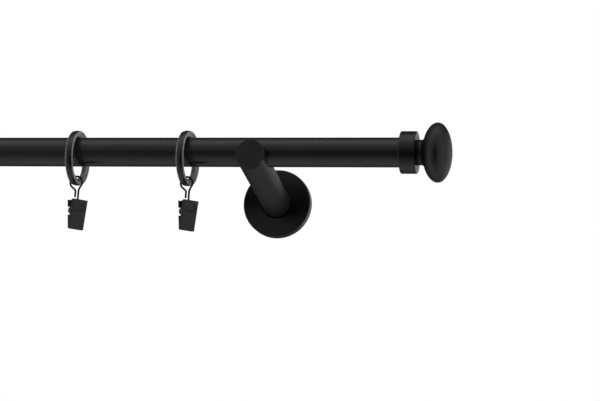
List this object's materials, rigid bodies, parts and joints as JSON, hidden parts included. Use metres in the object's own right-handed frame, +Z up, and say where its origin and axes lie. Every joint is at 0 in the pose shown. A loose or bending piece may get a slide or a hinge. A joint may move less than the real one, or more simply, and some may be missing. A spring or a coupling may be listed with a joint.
{
  "type": "curtain rod with brackets",
  "caption": "Round curtain rod on wall brackets with round rosettes, ball finials, and sliding hook rings that carry spring clips.",
  "frame": {"origin": "on the wall plane, midway between the two brackets, at the height of their rosettes' centres and of the wall holes' pattern", "axes": "+X along the rod towards the right finial, +Y into the wall, +Z up"},
  "size_m": [0.8474, 0.0909, 0.0707],
  "materials": {
    "black_powder_coat": "matte",
    "plated_ring": "satin",
    "nylon_liner": "matte",
    "clip_steel": "satin",
    "wire_steel": "satin",
    "spring_steel": "satin",
    "zinc_screw": "satin",
    "zinc_plate": "satin"
  },
  "bodies": {
    "root": {"rod_tube": "black_powder_coat", "bracket_right_arm": "black_powder_coat", "bracket_right_front_cap": "black_powder_coat", "bracket_right_wall_plate": "zinc_plate", "bracket_left_arm": "black_powder_coat", "bracket_left_front_cap": "black_powder_coat", "bracket_left_wall_plate": "zinc_plate", "rod_lock_screws": "zinc_screw", "arm_bolts": "zinc_screw"},
    "rosette_right": {"bracket_right_rosette": "black_powder_coat"},
    "rosette_left": {"bracket_left_rosette": "black_powder_coat"},
    "finial_right": {"finial_right_collar": "black_powder_coat", "finial_right_knob": "black_powder_coat", "finial_right_grub_screw": "zinc_screw"},
    "finial_left": {"finial_left_collar": "black_powder_coat", "finial_left_knob": "black_powder_coat", "finial_left_grub_screw": "zinc_screw"},
    "ring_1": {"ring_1": "plated_ring", "ring_1_liner": "nylon_liner"},
    "hook_1": {"hook_1": "wire_steel"},
    "clip_1": {"clip_1_back_jaw": "clip_steel", "clip_1_pin": "clip_steel", "clip_1_spring": "spring_steel"},
    "clip_1_jaw": {"clip_1_front_jaw": "clip_steel"},
    "ring_2": {"ring_2": "plated_ring", "ring_2_liner": "nylon_liner"},
    "hook_2": {"hook_2": "wire_steel"},
    "clip_2": {"clip_2_back_jaw": "clip_steel", "clip_2_pin": "clip_steel", "clip_2_spring": "spring_steel"},
    "clip_2_jaw": {"clip_2_front_jaw": "clip_steel"},
    "ring_3": {"ring_3": "plated_ring", "ring_3_liner": "nylon_liner"},
    "hook_3": {"hook_3": "wire_steel"},
    "clip_3": {"clip_3_back_jaw": "clip_steel", "clip_3_pin": "clip_steel", "clip_3_spring": "spring_steel"},
    "clip_3_jaw": {"clip_3_front_jaw": "clip_steel"},
    "ring_4": {"ring_4": "plated_ring", "ring_4_liner": "nylon_liner"},
    "hook_4": {"hook_4": "wire_steel"},
    "clip_4": {"clip_4_back_jaw": "clip_steel", "clip_4_pin": "clip_steel", "clip_4_spring": "spring_steel"},
    "clip_4_jaw": {"clip_4_front_jaw": "clip_steel"},
    "ring_5": {"ring_5": "plated_ring", "ring_5_liner": "nylon_liner"},
    "hook_5": {"hook_5": "wire_steel"},
    "clip_5": {"clip_5_back_jaw": "clip_steel", "clip_5_pin": "clip_steel", "clip_5_spring": "spring_steel"},
    "clip_5_jaw": {"clip_5_front_jaw": "clip_steel"},
    "ring_6": {"ring_6": "plated_ring", "ring_6_liner": "nylon_liner"},
    "hook_6": {"hook_6": "wire_steel"},
    "clip_6": {"clip_6_back_jaw": "clip_steel", "clip_6_pin": "clip_steel", "clip_6_spring": "spring_steel"},
    "clip_6_jaw": {"clip_6_front_jaw": "clip_steel"}
  },
  "joints": [
    {"name": "rosette_right_slide", "type": "slide", "parent": "root", "child": "rosette_right", "axis": [0, -0.9842, 0.1771], "range_m": [0, 0.04]},
    {"name": "rosette_left_slide", "type": "slide", "parent": "root", "child": "rosette_left", "axis": [0, -0.9842, 0.1771], "range_m": [0, 0.04]},
    {"name": "finial_right_pull", "type": "slide", "parent": "root", "child": "finial_right", "axis": [1, 0, 0], "range_m": [0, 0.025]},
    {"name": "finial_left_pull", "type": "slide", "parent": "root", "child": "finial_left", "axis": [-1, 0, 0], "range_m": [0, 0.025]},
    {"name": "ring_1_slide", "type": "slide", "parent": "root", "child": "ring_1", "axis": [1, 0, 0], "range_m": [-0.0598, 0.032]},
    {"name": "hook_1_swing", "type": "hinge", "parent": "ring_1", "child": "hook_1", "pos_m": [0.2524, -0.07201, -0.00145], "axis": [0.0349, 0.9994, 0], "range_deg": [-60, 60]},
    {"name": "clip_1_swivel", "type": "hinge", "parent": "hook_1", "child": "clip_1", "pos_m": [0.2544, -0.07208, -0.0136], "axis": [0, 0, 1], "continuous": true},
    {"name": "clip_1_open", "type": "hinge", "parent": "clip_1", "child": "clip_1_jaw", "pos_m": [0.2544, -0.07208, -0.0206], "axis": [-0.7547, -0.6561, 0], "range_deg": [0, 18], "stiffness_Nm_per_rad": 0.02, "springref_deg": -17.19, "deforming": ["clip_1_spring"]},
    {"name": "ring_2_slide", "type": "slide", "parent": "root", "child": "ring_2", "axis": [1, 0, 0], "range_m": [-0.0598, 0.0598]},
    {"name": "hook_2_swing", "type": "hinge", "parent": "ring_2", "child": "hook_2", "pos_m": [0.1774, -0.072, -0.00145], "axis": [0, 1, 0], "range_deg": [-60, 60]},
    {"name": "clip_2_swivel", "type": "hinge", "parent": "hook_2", "child": "clip_2", "pos_m": [0.1794, -0.072, -0.0136], "axis": [0, 0, 1], "continuous": true},
    {"name": "clip_2_open", "type": "hinge", "parent": "clip_2", "child": "clip_2_jaw", "pos_m": [0.1794, -0.072, -0.0206], "axis": [-0.7314, -0.682, 0], "range_deg": [0, 18], "stiffness_Nm_per_rad": 0.02, "springref_deg": -17.19, "deforming": ["clip_2_spring"]},
    {"name": "ring_3_slide", "type": "slide", "parent": "root", "child": "ring_3", "axis": [1, 0, 0], "range_m": [-0.1888, 0.0598]},
    {"name": "hook_3_swing", "type": "hinge", "parent": "ring_3", "child": "hook_3", "pos_m": [0.1024, -0.07199, -0.00145], "axis": [-0.0262, 0.9997, 0], "range_deg": [-60, 60]},
    {"name": "clip_3_swivel", "type": "hinge", "parent": "hook_3", "child": "clip_3", "pos_m": [0.1044, -0.07194, -0.0136], "axis": [0, 0, 1], "continuous": true},
    {"name": "clip_3_open", "type": "hinge", "parent": "clip_3", "child": "clip_3_jaw", "pos_m": [0.1044, -0.07194, -0.0206], "axis": [-0.7133, -0.7009, 0], "range_deg": [0, 18], "stiffness_Nm_per_rad": 0.02, "springref_deg": -17.19, "deforming": ["clip_3_spring"]},
    {"name": "ring_4_slide", "type": "slide", "parent": "root", "child": "ring_4", "axis": [1, 0, 0], "range_m": [-0.0598, 0.1888]},
    {"name": "hook_4_swing", "type": "hinge", "parent": "ring_4", "child": "hook_4", "pos_m": [-0.1016, -0.07199, -0.00145], "axis": [-0.0349, 0.9994, 0], "range_deg": [-60, 60]},
    {"name": "clip_4_swivel", "type": "hinge", "parent": "hook_4", "child": "clip_4", "pos_m": [-0.0996, -0.07192, -0.0136], "axis": [0, 0, 1], "continuous": true},
    {"name": "clip_4_open", "type": "hinge", "parent": "clip_4", "child": "clip_4_jaw", "pos_m": [-0.0996, -0.07192, -0.0206], "axis": [-0.7071, -0.7071, 0], "range_deg": [0, 18], "stiffness_Nm_per_rad": 0.02, "springref_deg": -17.19, "deforming": ["clip_4_spring"]},
    {"name": "ring_5_slide", "type": "slide", "parent": "root", "child": "ring_5", "axis": [1, 0, 0], "range_m": [-0.0598, 0.0598]},
    {"name": "hook_5_swing", "type": "hinge", "parent": "ring_5", "child": "hook_5", "pos_m": [-0.1766, -0.07202, -0.00145], "axis": [0.0436, 0.999, 0], "range_deg": [-60, 60]},
    {"name": "clip_5_swivel", "type": "hinge", "parent": "hook_5", "child": "clip_5", "pos_m": [-0.1746, -0.0721, -0.0136], "axis": [0, 0, 1], "continuous": true},
    {"name": "clip_5_open", "type": "hinge", "parent": "clip_5", "child": "clip_5_jaw", "pos_m": [-0.1746, -0.0721, -0.0206], "axis": [-0.7604, -0.6494, 0], "range_deg": [0, 18], "stiffness_Nm_per_rad": 0.02, "springref_deg": -17.19, "deforming": ["clip_5_spring"]},
    {"name": "ring_6_slide", "type": "slide", "parent": "root", "child": "ring_6", "axis": [1, 0, 0], "range_m": [-0.032, 0.0598]},
    {"name": "hook_6_swing", "type": "hinge", "parent": "ring_6", "child": "hook_6", "pos_m": [-0.2516, -0.072, -0.00145], "axis": [-0.0087, 1, 0], "range_deg": [-60, 60]},
    {"name": "clip_6_swivel", "type": "hinge", "parent": "hook_6", "child": "clip_6", "pos_m": [-0.2496, -0.07198, -0.0136], "axis": [0, 0, 1], "continuous": true},
    {"name": "clip_6_open", "type": "hinge", "parent": "clip_6", "child": "clip_6_jaw", "pos_m": [-0.2496, -0.07198, -0.0206], "axis": [-0.7254, -0.6884, 0], "range_deg": [0, 18], "stiffness_Nm_per_rad": 0.02, "springref_deg": -17.19, "deforming": ["clip_6_spring"]}
  ]
}
